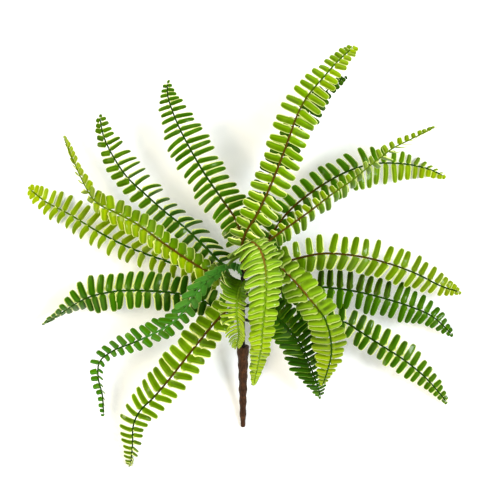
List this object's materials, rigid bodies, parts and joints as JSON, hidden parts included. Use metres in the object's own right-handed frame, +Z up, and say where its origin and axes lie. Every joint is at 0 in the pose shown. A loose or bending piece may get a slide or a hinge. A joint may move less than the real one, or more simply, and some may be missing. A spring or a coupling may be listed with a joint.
{
  "type": "artificial boston fern spray",
  "caption": "Moulded plastic Boston fern bush with arching fronds on a central stem and a ribbed brown pick, lying on its side.",
  "frame": {"origin": "centre of the bounding box in plan, at the surface that the spray lies on", "axes": "+Z up from the surface, +Y along the stem in plan from the pick's tip towards the crown, +X to the right"},
  "size_m": [0.4287, 0.4161, 0.1499],
  "materials": {
    "olive_leaf": "semi-gloss moulded plastic, olive green",
    "mid_green_leaf": "semi-gloss moulded plastic, mid green",
    "bright_leaf": "semi-gloss moulded plastic, bright green",
    "dark_leaf": "semi-gloss moulded plastic, dark green",
    "light_leaf": "semi-gloss moulded plastic, light green",
    "lime_leaf": "semi-gloss moulded plastic, yellow green",
    "pick": "matt moulded plastic, dark brown",
    "stem": "matt moulded plastic, near black brown"
  },
  "bodies": {
    "root": {"frond_01": "olive_leaf", "frond_02": "olive_leaf", "frond_03": "mid_green_leaf", "frond_04": "mid_green_leaf", "frond_05": "bright_leaf", "frond_06": "dark_leaf", "frond_07": "olive_leaf", "frond_08": "mid_green_leaf", "frond_09": "bright_leaf", "frond_10": "dark_leaf", "frond_11": "mid_green_leaf", "frond_12": "dark_leaf", "frond_13": "light_leaf", "frond_14": "light_leaf", "frond_15": "lime_leaf", "frond_16": "mid_green_leaf", "frond_17": "mid_green_leaf", "frond_18": "bright_leaf", "pick": "pick", "stem": "stem"}
  },
  "joints": []
}
